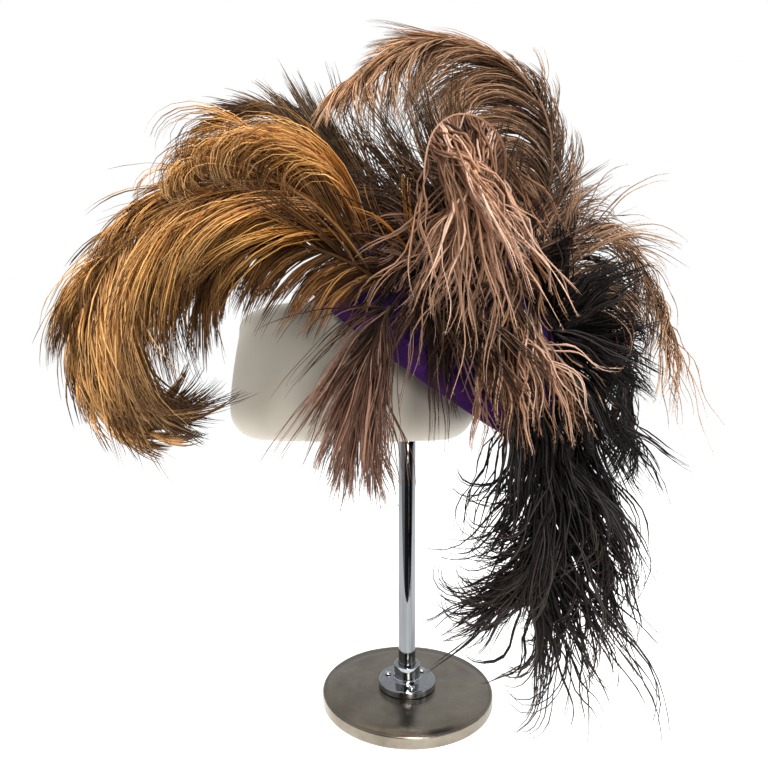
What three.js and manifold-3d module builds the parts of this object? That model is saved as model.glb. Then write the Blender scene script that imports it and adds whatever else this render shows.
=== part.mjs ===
// Calot hat of purple velvet with nine ostrich plumes, on its display stand.
// Millimetres, +Z up, the front towards -Y, the origin at the centre of the base's underside.

import * as THREE from 'three';
import { mergeVertices } from 'three/addons/utils/BufferGeometryUtils.js';
import Module from 'manifold-3d';

const wasm = await Module();
wasm.setup();

// Gaps between pieces that rest on each other
const SEAT_GAP = 0.35;
const PLUME_GAP = 0.5;

// Stand
const BASE = {
  radius: 78.5, height: 10, chamfer: 1.2, grooveAt: 76, grooveWidth: 1, grooveDepth: 0.7, sides: 32,
};
const FLANGE = {
  radius: 26.5, height: 6, bevel: 1, collarRadius: 12, collarHeight: 20, fillet: 2.5, sides: 20,
};
const SCREW = {
  count: 3, circle: 19, radius: 3, flank: 0.7, topRadius: 1.8, height: 1.8, firstAngle: 40, sides: 10,
};
const POLE = { radius: 8, socketDepth: 20, sides: 24 };

// Frosted top of the stand: an oval block with a rounded foot and a low dome
const FORM = {
  centreX: -51,
  halfLength: 113,
  halfWidth: 70,
  bottom: 240,
  footRadius: 28,
  shoulder: 335,
  shoulderInset: 8,
  top: 364.1,
  domeFullness: 0.6,
  footSteps: 4,
  domeSteps: 6,
  sides: 28,
};

// Velvet crown: a deep oval dome, tipped down at its right end and rolled towards the front
const CROWN = {
  centre: new THREE.Vector3(22, 0, 307),
  halfLength: 131,
  halfWidth: 100,
  height: 120,
  wall: 2.5,
  fullness: 0.85,
  tiltDegrees: 35.2,
  rollDegrees: 12.6,
  rings: 7,
  sides: 28,
};
const BAND = { above: 14, below: 1.5, thickness: 2 };

// How far the domes and slabs that cut the crown and its band reach past them
const CUT = { skirt: 20, slabWidth: 400 };

// Plumes: the shaft, and the locks that its barbs hang together in
const QUILL = { rootRadius: 2.4, tipRadius: 0.9, sides: 4, steps: 8, footDepth: 2.4 };
const LOCK = {
  pitch: 58, overlap: 1.17, thickness: 9, lift: 0.28, fineSteps: 12, bend: 34, fewestBends: 2, mostBends: 4,
};
const SPRAY_WIDTH = 44;
const TAPER = { root: 0.7, swell: 1.2, tip: 0.3, fade: 1.1 };
const TURN_POWER = 1.3;
const DROOP_POWER = 1.4;
const FACE = new THREE.Vector3(0, -1, 0);
const DOWN = new THREE.Vector3(0, 0, -1);

// Colour, roughness and metalness of the pieces that are no plumes
const LOOKS = {
  base: [0x8f8b84, 0.35, 1],
  flange: [0xc9ccd0, 0.12, 1],
  screw: [0xb4b4b4, 0.25, 1],
  pole: [0xc9ccd0, 0.08, 1],
  form: [0xd8d8d2, 0.5, 0],
  crown: [0x3c1d5a, 0.85, 0],
  rimBand: [0x5a2a6e, 0.8, 0],
};
const PLUME_ROUGHNESS = 0.8;

// Rows of a vane: the stretch of shaft that it leaves (parts of its length), the side seen from the front
// (1 is the right hand of one who walks up the shaft), the barbs' length at both ends of the stretch,
// how far they lean from the shaft there, how far they turn on their way, and how much they droop.
function vane(from, to, side, longFrom, longTo, leanFrom, leanTo, turn, droop) {
  return { from, to, side, longFrom, longTo, leanFrom, leanTo, turn, droop };
}

// Loose locks: the part of the shaft that one leaves, the way that it sets out (degrees from the right,
// seen from the front), its length, how much it droops, and how far it lifts towards the front.
function spray(at, heading, long, droop, lift) {
  return { at, heading, long, droop, lift };
}

// Plumes: where the quill is sewn to the crown (degrees round it and up it), the points that its shaft
// passes (x, y, z), its vanes and its sprays.
const PLUMES = [
  {
    name: 'plume_golden',
    colour: 0xa8752e,
    seat: { around: -120, up: 22 },
    shaft: [
      [-35, -104, 390], [-64, -112, 411], [-101, -122, 424], [-143, -130, 416], [-179, -132, 395],
      [-209, -130, 363], [-227, -122, 327], [-231, -112, 290], [-219, -102, 262], [-198, -94, 250],
    ],
    vanes: [
      vane(0.08, 0.38, 1, 140, 66, 30, 30, -125, 0.1),
      vane(0.38, 0.64, 1, 66, 70, 20, 20, -70, 0.1),
      vane(0.64, 1, 1, 78, 52, 22, 14, -60, 0),
      vane(0.08, 0.42, -1, 140, 140, 30, 34, 60, 0.2),
      vane(0.42, 0.7, -1, 125, 105, 36, 34, 30, 0.1),
      vane(0.7, 1, -1, 100, 52, 34, 22, 40, 0),
    ],
    sprays: [],
  },
  {
    name: 'plume_arch',
    colour: 0x8c6444,
    seat: { around: -64, up: 54 },
    shaft: [
      [110, -62, 425], [120, -48, 473], [121, -35, 517], [106, -28, 557],
      [75, -28, 582], [31, -36, 588], [-12, -54, 566], [-50, -76, 526],
    ],
    vanes: [
      vane(0.13, 0.55, -1, 75, 140, 34, 34, 125, 0.1),
      vane(0.46, 1, -1, 105, 55, 15, 9, 10, 0.15),
      vane(0.1, 0.48, 1, 66, 38, 42, 22, -70, 0),
      vane(0.5, 1, 1, 22, 22, 6, 4, -30, 0.1),
    ],
    sprays: [spray(0.11, 110, 75, 0.1, 0.7), spray(0.02, -100, 85, 0.6, 0.35), spray(0.02, -140, 85, 0.6, 0.35)],
  },
  {
    name: 'plume_black_lower',
    colour: 0x262020,
    seat: { around: -46, up: 13 },
    shaft: [[106, -72, 258], [112, -82, 222], [109, -90, 188], [98, -94, 160], [82, -96, 142]],
    vanes: [
      vane(0.05, 1, 1, 110, 76, 22, 6, 16, 0),
      vane(0.05, 1, -1, 118, 80, 32, 46, -16, 0.1),
    ],
    sprays: [spray(0.02, -80, 105, 0.4, 0.35)],
  },
  {
    name: 'plume_black_upper',
    colour: 0x1e1a1a,
    seat: { around: -50, up: 32 },
    shaft: [
      [106, -60, 357], [134, -48, 372], [166, -32, 360], [188, -18, 325], [202, -8, 282], [210, -4, 244],
    ],
    vanes: [
      vane(0.04, 1, 1, 90, 56, 60, 20, 24, 0.5),
      vane(0.04, 1, -1, 56, 40, 45, 4, -60, 0.4),
    ],
    sprays: [
      spray(0.15, 50, 60, 0.3, 0.9), spray(0.12, -80, 86, 0.5, 0.8), spray(0.3, -60, 90, 0.5, 0.7),
      spray(0.55, -80, 76, 0.5, 0.6),
    ],
  },
  {
    name: 'plume_front',
    colour: 0xb48c6e,
    seat: { around: -76, up: 44 },
    shaft: [
      [63, -118, 410], [58, -138, 438], [42, -148, 451], [24, -154, 451], [10, -158, 439],
      [4, -160, 420], [3, -158, 400],
    ],
    vanes: [
      vane(0.5, 1, -1, 120, 106, 160, -15, 0, 0.3),
      vane(0.7, 1, 1, 62, 52, 30, 20, 30, 0.5),
    ],
    sprays: [
      spray(0.02, -65, 80, 0.5, 0.35), spray(0.02, -92, 84, 0.5, 0.3), spray(0.02, -118, 82, 0.6, 0.3),
    ],
  },
  {
    name: 'plume_under',
    colour: 0x785030,
    seat: { around: -116, up: 16 },
    shaft: [[-53, -114, 374], [-92, -116, 384], [-127, -116, 379], [-152, -114, 354]],
    vanes: [
      vane(0.12, 1, 1, 50, 35, 35, 12, 0, 0.9),
      vane(0.08, 1, -1, 78, 50, 50, 24, 20, 1),
    ],
    sprays: [],
  },
  {
    name: 'plume_grey',
    colour: 0x6e6058,
    seat: { around: -124, up: 30 },
    shaft: [[-26, -76, 419], [-62, -58, 478], [-100, -42, 517], [-136, -30, 531], [-162, -25, 529]],
    vanes: [
      vane(0.06, 0.5, 1, 128, 76, 3, -6, 6, 0),
      vane(0.5, 1, 1, 42, 20, 20, 12, -40, 0.1),
      vane(0.1, 1, -1, 100, 40, 22, 12, -10, 0.2),
    ],
    sprays: [spray(0.02, 105, 95, 0.1, 0.35)],
  },
  {
    name: 'plume_tassel',
    colour: 0x5a3a2a,
    seat: { around: -114, up: 9 },
    shaft: [[-19, -118, 336], [-30, -122, 311], [-38, -122, 279], [-41, -116, 250]],
    vanes: [
      vane(0.12, 1, 1, 110, 50, 18, 8, -5, 0.5),
      vane(0.12, 1, -1, 100, 50, 12, 8, -5, 0.5),
    ],
    sprays: [spray(0.02, 150, 55, 0.5, 0.4), spray(0.02, -65, 100, 0.5, 0.3)],
  },
  {
    name: 'plume_right',
    colour: 0x7d553c,
    seat: { around: -58, up: 42 },
    shaft: [[127, -62, 402], [155, -52, 416], [187, -42, 402], [213, -33, 372], [229, -28, 334]],
    vanes: [
      vane(0.2, 1, 1, 95, 80, 36, 8, 20, 0.7),
      vane(0.2, 1, -1, 56, 64, 40, 4, -60, 0.6),
    ],
    sprays: [spray(0.3, -75, 110, 0.5, 0.5), spray(0.6, -80, 90, 0.5, 0.5)],
  },
];

const radians = THREE.MathUtils.degToRad;
const part = new THREE.Group();

function material([colour, roughness, metalness]) {
  return new THREE.MeshStandardMaterial({ color: colour, roughness, metalness });
}

// A closed geometry as a solid that can be joined and cut
function solid(geometry) {
  geometry.deleteAttribute('normal');
  geometry.deleteAttribute('uv');
  const merged = mergeVertices(geometry, 1e-4);
  return new wasm.Manifold(new wasm.Mesh({
    numProp: 3,
    vertProperties: merged.attributes.position.array,
    triVerts: new Uint32Array(merged.index.array),
  }));
}

// A solid as a named mesh of the part
function add(name, shape, look) {
  const { vertProperties, triVerts } = shape.getMesh();
  const geometry = new THREE.BufferGeometry();
  geometry.setAttribute('position', new THREE.BufferAttribute(new Float32Array(vertProperties), 3));
  geometry.setIndex(new THREE.BufferAttribute(new Uint32Array(triVerts), 1));
  geometry.computeVertexNormals();
  const mesh = new THREE.Mesh(geometry, material(look));
  mesh.name = name;
  part.add(mesh);
}

// A profile of [radius, height] pairs turned about the vertical axis
function turned(profile, sides) {
  const points = profile.map(([radius, height]) => new THREE.Vector2(radius, height));
  return new THREE.LatheGeometry(points, sides).rotateX(Math.PI / 2);
}

// Rings of the same number of points, joined side to side and closed at both ends
function loft(rings) {
  const sides = rings[0].length;
  const positions = rings.flat().flatMap((point) => point.toArray());
  const faces = [];
  for (let k = 0; k < rings.length - 1; k += 1) {
    for (let i = 0; i < sides; i += 1) {
      const here = k * sides + i;
      const next = k * sides + ((i + 1) % sides);
      faces.push(here, next, next + sides, here, next + sides, here + sides);
    }
  }
  const last = (rings.length - 1) * sides;
  for (let i = 1; i < sides - 1; i += 1) {
    faces.push(0, i + 1, i);
    faces.push(last, last + i, last + i + 1);
  }
  const geometry = new THREE.BufferGeometry();
  geometry.setAttribute('position', new THREE.Float32BufferAttribute(positions, 3));
  geometry.setIndex(faces);
  return geometry;
}

function roundRing(centre, wide, high, radius, sides) {
  return Array.from({ length: sides }, (_, i) => {
    const angle = (2 * Math.PI * i) / sides;
    return centre.clone()
      .addScaledVector(wide, radius * Math.cos(angle))
      .addScaledVector(high, radius * Math.sin(angle));
  });
}

function stripRing(centre, wide, high, halfWidth, halfHeight) {
  const corners = [[1, 1], [-1, 1], [-1, -1], [1, -1]];
  return corners.map(([across, up]) => centre.clone()
    .addScaledVector(wide, halfWidth * across)
    .addScaledVector(high, halfHeight * up));
}

// Stand

function makeBase() {
  const { radius, height, chamfer, grooveAt, grooveWidth, grooveDepth } = BASE;
  const profile = [
    [0, 0], [radius - chamfer, 0], [radius, chamfer],
    [radius, height - chamfer], [radius - chamfer, height],
    [grooveAt + grooveWidth / 2, height], [grooveAt, height - grooveDepth],
    [grooveAt - grooveWidth / 2, height], [0, height],
  ];
  add('base', solid(turned(profile, BASE.sides)), LOOKS.base);
}

function makeFlange() {
  const { radius, height, bevel, collarRadius, collarHeight, fillet } = FLANGE;
  const foot = BASE.height + SEAT_GAP;
  const bore = POLE.radius + SEAT_GAP;
  const profile = [
    [bore, foot], [radius, foot], [radius, foot + height - bevel], [radius - bevel, foot + height],
    [collarRadius + fillet, foot + height], [collarRadius, foot + height + fillet],
    [collarRadius, foot + collarHeight], [bore, foot + collarHeight], [bore, foot],
  ];
  add('flange', solid(turned(profile, FLANGE.sides)), LOOKS.flange);
}

function makeScrews() {
  const seat = BASE.height + SEAT_GAP + FLANGE.height + SEAT_GAP;
  const { radius, flank, topRadius, height } = SCREW;
  const profile = [[0, 0], [radius, 0], [radius, flank], [topRadius, height], [0, height]];
  for (let i = 0; i < SCREW.count; i += 1) {
    const angle = radians(SCREW.firstAngle + (360 / SCREW.count) * i);
    const head = turned(profile, SCREW.sides).translate(
      SCREW.circle * Math.cos(angle), SCREW.circle * Math.sin(angle), seat,
    );
    add(`screw_${i + 1}`, solid(head), LOOKS.screw);
  }
}

// The pole, or the room round it
function poleSolid(grow) {
  const foot = BASE.height + SEAT_GAP;
  const top = FORM.bottom + POLE.socketDepth + grow;
  const profile = [[0, foot], [POLE.radius + grow, foot], [POLE.radius + grow, top], [0, top]];
  return solid(turned(profile, POLE.sides));
}

// The frosted top, or the room round it
function formSolid(grow) {
  const half = FORM.halfLength + grow;
  const bottom = FORM.bottom - grow;
  const profile = [[0, bottom]];
  for (let i = 0; i <= FORM.footSteps; i += 1) {
    const angle = radians((90 * i) / FORM.footSteps);
    profile.push([
      half - FORM.footRadius * (1 - Math.sin(angle)),
      bottom + FORM.footRadius * (1 - Math.cos(angle)),
    ]);
  }
  const shoulderRadius = half - FORM.shoulderInset;
  for (let i = 0; i < FORM.domeSteps; i += 1) {
    const angle = radians((90 * i) / FORM.domeSteps);
    profile.push([
      shoulderRadius * Math.cos(angle) ** FORM.domeFullness,
      FORM.shoulder + (FORM.top + grow - FORM.shoulder) * Math.sin(angle) ** FORM.domeFullness,
    ]);
  }
  profile.push([0, FORM.top + grow]);
  const shape = turned(profile, FORM.sides)
    .scale(1, (FORM.halfWidth + grow) / half, 1)
    .translate(FORM.centreX, 0, 0);
  return solid(shape);
}

// Crown

const tilt = radians(CROWN.tiltDegrees);
const roll = radians(CROWN.rollDegrees);
const ALONG = new THREE.Vector3(Math.cos(tilt), 0, -Math.sin(tilt));
const UPRIGHT = new THREE.Vector3(Math.sin(tilt), 0, Math.cos(tilt));
const AWAY = new THREE.Vector3(0, 1, 0);
const CROWN_AXIS = UPRIGHT.clone().multiplyScalar(Math.cos(roll)).addScaledVector(AWAY, -Math.sin(roll));
const ACROSS = AWAY.clone().multiplyScalar(Math.cos(roll)).addScaledVector(UPRIGHT, Math.sin(roll));
const CROWN_FRAME = new THREE.Matrix4().makeBasis(ALONG, ACROSS, CROWN_AXIS).setPosition(CROWN.centre);

// Place on the crown's outside, or on a dome that stands `grow` outside it
function crownPoint(aroundDegrees, upDegrees, grow) {
  const around = radians(aroundDegrees);
  const out = Math.cos(radians(upDegrees)) ** CROWN.fullness;
  const up = Math.sin(radians(upDegrees)) ** CROWN.fullness;
  return new THREE.Vector3(
    (CROWN.halfLength + grow) * out * Math.cos(around),
    (CROWN.halfWidth + grow) * out * Math.sin(around),
    (CROWN.height + grow) * up,
  ).applyMatrix4(CROWN_FRAME);
}

// Filled dome `grow` outside the crown's outside, reaching `skirt` below its edge
function dome(grow, skirt) {
  const profile = skirt > 0 ? [[0, -skirt], [1, -skirt]] : [[0, 0]];
  for (let i = 0; i < CROWN.rings; i += 1) {
    const angle = radians((90 * i) / CROWN.rings);
    const out = Math.cos(angle) ** CROWN.fullness;
    const up = Math.sin(angle) ** CROWN.fullness;
    profile.push([out, (CROWN.height + grow) * up]);
  }
  profile.push([0, CROWN.height + grow]);
  const shape = turned(profile, CROWN.sides)
    .scale(CROWN.halfLength + grow, CROWN.halfWidth + grow, 1)
    .applyMatrix4(CROWN_FRAME);
  return solid(shape);
}

function makeCrown() {
  add('crown', dome(0, 0).subtract(dome(-CROWN.wall, CUT.skirt)), LOOKS.crown);
}

// The layer of space between the band's edges, or `grow` past them
function bandSlab(grow) {
  const slab = new THREE.BoxGeometry(CUT.slabWidth, CUT.slabWidth, BAND.above + BAND.below + 2 * grow)
    .translate(0, 0, (BAND.above - BAND.below) / 2)
    .applyMatrix4(CROWN_FRAME);
  return solid(slab);
}

function makeBand() {
  const strip = dome(SEAT_GAP + BAND.thickness, CUT.skirt)
    .subtract(dome(SEAT_GAP, CUT.skirt))
    .intersect(bandSlab(0));
  add('rim_band', strip, LOOKS.rimBand);
}

// Plumes

function shaftCurve(plume) {
  const foot = crownPoint(plume.seat.around, plume.seat.up, -QUILL.footDepth);
  const points = [foot, ...plume.shaft.map(([x, y, z]) => new THREE.Vector3(x, y, z))];
  return new THREE.CatmullRomCurve3(points, false, 'catmullrom', 0.5);
}

// The shaft, or the room round it
function quillSolid(curve, grow) {
  const rings = [];
  for (let k = 0; k <= QUILL.steps; k += 1) {
    const t = k / QUILL.steps;
    const along = curve.getTangentAt(t);
    const side = new THREE.Vector3().crossVectors(FACE, along).normalize();
    const front = new THREE.Vector3().crossVectors(along, side);
    const radius = THREE.MathUtils.lerp(QUILL.rootRadius, QUILL.tipRadius, t) + grow;
    rings.push(roundRing(curve.getPointAt(t), side, front, radius, QUILL.sides));
  }
  return solid(loft(rings));
}

// The way that a barb takes from a place: it leaves at its lean from `along` and lifted out of the plane,
// turns in the plane of `along` and `side`, and droops more and more towards its tip.
function barbPath(start, along, side, { length, lean, turn, droop, lift }) {
  const bends = THREE.MathUtils.clamp(Math.round(length / LOCK.bend), LOCK.fewestBends, LOCK.mostBends);
  const place = start.clone();
  const stops = [{ place: place.clone(), along: along.clone(), s: 0 }];
  for (let k = 0; k < LOCK.fineSteps; k += 1) {
    const s = (k + 0.5) / LOCK.fineSteps;
    const angle = radians(lean) + radians(turn) * s ** TURN_POWER;
    const way = along.clone().multiplyScalar(Math.cos(angle))
      .addScaledVector(side, Math.sin(angle))
      .addScaledVector(FACE, lift)
      .addScaledVector(DOWN, droop * s ** DROOP_POWER)
      .normalize();
    place.addScaledVector(way, length / LOCK.fineSteps);
    if (k === 0) {
      stops[0].along.copy(way);
    }
    if ((k + 1) % (LOCK.fineSteps / bends) === 0) {
      stops.push({ place: place.clone(), along: way, s: (k + 1) / LOCK.fineSteps });
    }
  }
  return stops;
}

// The way of a lock that leaves the part t of the shaft in a vane's row
function vanePath(curve, row, t, lift) {
  const along = curve.getTangentAt(t);
  const side = new THREE.Vector3().crossVectors(along, FACE).normalize().multiplyScalar(row.side);
  const passed = (t - row.from) / (row.to - row.from);
  return barbPath(curve.getPointAt(t), along, side, {
    length: THREE.MathUtils.lerp(row.longFrom, row.longTo, passed),
    lean: THREE.MathUtils.lerp(row.leanFrom, row.leanTo, passed),
    turn: row.turn,
    droop: row.droop,
    lift,
  });
}

// The way of a loose lock
function sprayPath(curve, { at, heading, long, droop, lift }) {
  const along = new THREE.Vector3(Math.cos(radians(heading)), 0, Math.sin(radians(heading)));
  const side = new THREE.Vector3().crossVectors(along, FACE);
  return barbPath(curve.getPointAt(at), along, side, { length: long, lean: 0, turn: 0, droop, lift });
}

// A flat strip along a barb's way, narrow at its root and its tip
function lockSolid(stops, width, grow) {
  const rings = stops.map(({ place, along, s }) => {
    const taper = Math.min(TAPER.root + TAPER.swell * s, 1, TAPER.tip + TAPER.fade * (1 - s));
    const wide = new THREE.Vector3().crossVectors(FACE, along).normalize();
    const high = new THREE.Vector3().crossVectors(along, wide);
    const halfWidth = (width / 2) * taper + grow;
    const halfHeight = (LOCK.thickness / 2) * taper + grow;
    return stripRing(place, wide, high, halfWidth, halfHeight);
  });
  return solid(loft(rings));
}

function plumeSolid(plume, grow) {
  const curve = shaftCurve(plume);
  const total = curve.getLength();
  let shape = quillSolid(curve, grow);
  for (const row of plume.vanes) {
    const stretch = (row.to - row.from) * total;
    const count = Math.max(1, Math.round(stretch / LOCK.pitch));
    for (let i = 0; i < count; i += 1) {
      const t = row.from + ((row.to - row.from) * (i + 0.5)) / count;
      const width = (stretch / count) * LOCK.overlap;
      const lift = i % 2 === 0 ? LOCK.lift : -LOCK.lift;
      shape = shape.add(lockSolid(vanePath(curve, row, t, lift), width, grow));
    }
  }
  for (const lock of plume.sprays) {
    shape = shape.add(lockSolid(sprayPath(curve, lock), SPRAY_WIDTH, grow));
  }
  return shape;
}

// Of what is left after the cuts, the body that holds the most of the plume
function largestBody(shape) {
  return shape.decompose().reduce((best, body) => (body.volume() > best.volume() ? body : best));
}

function cutBy(shape, rooms) {
  return rooms.reduce((left, room) => left.subtract(room), shape);
}

// Each plume gives way to the stand and the hat, to the plumes before it and to the shafts of those after
// it, but keeps its own shaft whole.
function makePlumes() {
  const bandRoom = dome(SEAT_GAP + BAND.thickness + PLUME_GAP, CUT.skirt).intersect(bandSlab(PLUME_GAP));
  const hatAndStand = [poleSolid(PLUME_GAP), formSolid(PLUME_GAP), dome(SEAT_GAP, 0), bandRoom];
  const shaftRooms = PLUMES.map((plume) => quillSolid(shaftCurve(plume), PLUME_GAP));
  const before = [];
  PLUMES.forEach((plume, i) => {
    const locks = cutBy(plumeSolid(plume, 0), before);
    const whole = locks.add(quillSolid(shaftCurve(plume), 0));
    const shape = cutBy(whole, [...hatAndStand, ...shaftRooms.slice(i + 1)]);
    add(plume.name, largestBody(shape), [plume.colour, PLUME_ROUGHNESS, 0]);
    before.push(plumeSolid(plume, PLUME_GAP));
  });
}

makeBase();
makeFlange();
makeScrews();
add('pole', poleSolid(0), LOOKS.pole);
add('form', formSolid(0).subtract(poleSolid(SEAT_GAP)), LOOKS.form);
makeCrown();
makeBand();
makePlumes();

export default part;
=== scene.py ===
# Calot hat of purple velvet with nine ostrich plumes, on its display stand.
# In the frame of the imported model: +Z up, the front towards -Y. The tables are in millimetres and degrees.

import math
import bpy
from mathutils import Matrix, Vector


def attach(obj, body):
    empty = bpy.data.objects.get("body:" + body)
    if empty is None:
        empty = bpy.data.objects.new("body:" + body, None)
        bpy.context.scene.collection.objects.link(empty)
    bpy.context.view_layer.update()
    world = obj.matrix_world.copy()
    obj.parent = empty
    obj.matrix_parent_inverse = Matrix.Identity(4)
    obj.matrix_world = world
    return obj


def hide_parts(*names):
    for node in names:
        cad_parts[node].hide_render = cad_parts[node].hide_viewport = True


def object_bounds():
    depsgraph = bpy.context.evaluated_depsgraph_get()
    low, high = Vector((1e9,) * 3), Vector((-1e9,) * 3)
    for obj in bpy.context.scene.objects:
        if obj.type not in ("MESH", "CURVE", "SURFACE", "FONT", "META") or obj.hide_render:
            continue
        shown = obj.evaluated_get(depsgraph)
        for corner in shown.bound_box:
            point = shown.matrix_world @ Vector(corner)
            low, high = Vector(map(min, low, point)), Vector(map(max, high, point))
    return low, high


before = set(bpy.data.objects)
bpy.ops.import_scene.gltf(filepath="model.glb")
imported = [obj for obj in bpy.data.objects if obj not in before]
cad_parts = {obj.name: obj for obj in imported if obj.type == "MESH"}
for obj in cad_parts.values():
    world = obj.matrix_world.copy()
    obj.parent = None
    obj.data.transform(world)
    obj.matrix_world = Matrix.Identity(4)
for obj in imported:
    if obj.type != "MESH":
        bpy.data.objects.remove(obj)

from types import SimpleNamespace as Sizes

import bpy
import numpy as np
from mathutils import Matrix, Vector

CAD_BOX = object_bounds()
MM = 0.001


# Finishes

def paint(code):
    """A colour written as six hexadecimal digits, as the linear colour that a socket takes."""
    channels = [int(code[i:i + 2], 16) / 255 for i in (0, 2, 4)]
    linear = [c / 12.92 if c <= 0.04045 else ((c + 0.055) / 1.055) ** 2.4 for c in channels]
    return (*linear, 1.0)


class Field:
    """A value, vector or colour that nodes work out over a surface."""

    def __init__(self, nodes, socket):
        self.nodes = nodes
        self.socket = socket

    def __add__(self, other):
        return self.nodes.maths("ADD", self, other)

    def __radd__(self, other):
        return self.nodes.maths("ADD", other, self)

    def __sub__(self, other):
        return self.nodes.maths("SUBTRACT", self, other)

    def __rsub__(self, other):
        return self.nodes.maths("SUBTRACT", other, self)

    def __mul__(self, other):
        return self.nodes.maths("MULTIPLY", self, other)

    def __rmul__(self, other):
        return self.nodes.maths("MULTIPLY", other, self)


class Nodes:
    """A node tree, emptied, with one way to add any node and short ways to add the common ones."""

    def __init__(self, tree):
        self.tree = tree
        tree.nodes.clear()

    def connect(self, socket, value):
        if isinstance(value, Field):
            self.tree.links.new(value.socket, socket)
        else:
            socket.default_value = value

    def node(self, kind, settings=None, inputs=None, output=0):
        """A node of that type, with its settings made first and its sockets filled, as a field."""
        made = self.tree.nodes.new(kind)
        for key, value in (settings or {}).items():
            if key == "stops":
                ramp = made.color_ramp
                while len(ramp.elements) < len(value):
                    ramp.elements.new(0.5)
                for element, (position, colour) in zip(ramp.elements, value):
                    element.position = position
                    element.color = colour
            else:
                setattr(made, key, value)
        for key, value in (inputs or {}).items():
            self.connect(made.inputs[key], value)
        return Field(self, made.outputs[output])

    def maths(self, operation, first, second):
        return self.node("ShaderNodeMath", {"operation": operation}, {0: first, 1: second})

    def mix(self, share, first, second, way="MIX"):
        settings = {"data_type": "RGBA", "blend_type": way}
        return self.node("ShaderNodeMix", settings, {0: share, 6: first, 7: second}, output=2)

    def dimmed(self, colour, share):
        colour = colour if isinstance(colour, Field) else colour[:3]
        return self.node("ShaderNodeVectorMath", {"operation": "SCALE"}, {0: colour, 3: share})

    def ramp(self, value, *stops):
        """A colour read off a ramp: stops are places on it with their hexadecimal or linear colours."""
        stops = [(at, paint(colour) if isinstance(colour, str) else colour) for at, colour in stops]
        return self.node("ShaderNodeValToRGB", {"stops": stops}, {0: value})

    def axis(self, vector, number):
        return self.node("ShaderNodeSeparateXYZ", {}, {0: vector}, output=number)

    def place(self, stretch=(1, 1, 1)):
        """Object coordinates, stretched."""
        here = self.node("ShaderNodeTexCoord", output="Object")
        return self.node("ShaderNodeMapping", {}, {0: here, 3: stretch})

    def noise(self, scale, detail, roughness, *stretch):
        inputs = {"Vector": self.place(*stretch), "Scale": scale, "Detail": detail, "Roughness": roughness}
        return self.node("ShaderNodeTexNoise", {}, inputs)


class Finish(Nodes):
    """A procedural material: one shader, its fixed values, and the fields that feed it."""

    def __init__(self, name, **fixed):
        self.material = bpy.data.materials.new(name)
        self.material.use_nodes = True
        super().__init__(self.material.node_tree)
        output = self.tree.nodes.new("ShaderNodeOutputMaterial")
        self.shader = self.tree.nodes.new("ShaderNodeBsdfPrincipled")
        self.tree.links.new(self.shader.outputs["BSDF"], output.inputs["Surface"])
        for socket, value in fixed.items():
            self.feed(socket.replace("_", " "), value)

    def feed(self, socket, value):
        self.connect(self.shader.inputs[socket], value)

    def given(self, colour, roughness, height, strength, distance):
        """The material, once it has its colour, its roughness and bumps of that height."""
        inputs = {"Strength": strength, "Distance": distance, "Height": height}
        self.feed("Base Color", colour)
        self.feed("Roughness", roughness)
        self.feed("Normal", self.node("ShaderNodeBump", {}, inputs))
        return self.material


def velvet(name, ground, nap, shade):
    """Pile cloth: brushed patches over a deep ground, and a sheen at grazing angles."""
    finish = Finish(name, Sheen_Weight=0.5, Sheen_Roughness=0.35, Sheen_Tint=paint(nap), IOR=1.3)
    brushed = finish.noise(34, 4, 0.6, (1, 1, 2.2))
    creases = finish.noise(60, 2, 0.5, (0.6, 1, 3.5))
    pile = finish.noise(1900, 1, 0.5)
    colour = finish.ramp(brushed, (0.22, shade), (0.52, ground), (0.9, nap))
    colour = finish.dimmed(colour, 0.7 + 0.6 * pile)
    return finish.given(colour, 0.8 + 0.18 * pile, creases * 0.8 + pile * 0.2, 0.5, 0.0012)


def lining(name):
    """Plain woven cloth inside the crown."""
    finish = Finish(name, Sheen_Weight=0.2, Sheen_Roughness=0.4)
    weave = finish.noise(1400, 2, 0.6)
    worn = finish.noise(22, 3, 0.5)
    colour = finish.ramp(worn, (0.3, "1c1024"), (0.7, "2c1c38"))
    return finish.given(finish.dimmed(colour, 0.75 + 0.5 * weave), 0.7 + 0.2 * weave, weave, 0.3, 0.0004)


def frosted(name):
    """Milky plastic with a fine matt grain."""
    glow = {"Subsurface_Weight": 0.25, "Subsurface_Radius": (0.03, 0.03, 0.03), "Subsurface_Scale": 0.6}
    finish = Finish(name, **glow)
    cloud = finish.noise(9, 3, 0.5)
    grain = finish.noise(1500, 2, 0.5)
    colour = finish.ramp(cloud, (0.3, "c6bfae"), (0.7, "d4cdc0"))
    return finish.given(colour, 0.42 + 0.12 * grain, grain, 0.12, 0.0002)


def polished(name, tint):
    """Chrome with faint smears and upright streaks, and a painted dark reflection that makes it darker above
    the flange's plate than on it.
    """
    finish = Finish(name, Metallic=1.0)
    smear = finish.noise(70, 4, 0.6, (1, 1, 0.25))
    specks = finish.noise(700, 2, 0.5)
    streaks = finish.noise(420, 2, 0.6, (1, 1, 0.02))
    # Painted reflection: above 40 mm the chrome is darkened, standing in for the dark surroundings that the
    # pole reflects.
    painted_dark_reflection = finish.ramp(finish.axis(finish.place(), 2), (0.031, (1, 1, 1, 1)), (0.04, (0.6, 0.6, 0.6, 1)))
    colour = finish.mix(1.0, paint(tint), painted_dark_reflection, "MULTIPLY")
    colour = finish.dimmed(colour, 0.5 + 0.3 * smear + 0.6 * streaks)
    return finish.given(colour, 0.03 + 0.1 * smear * specks, specks, 0.02, 0.0001)


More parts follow.
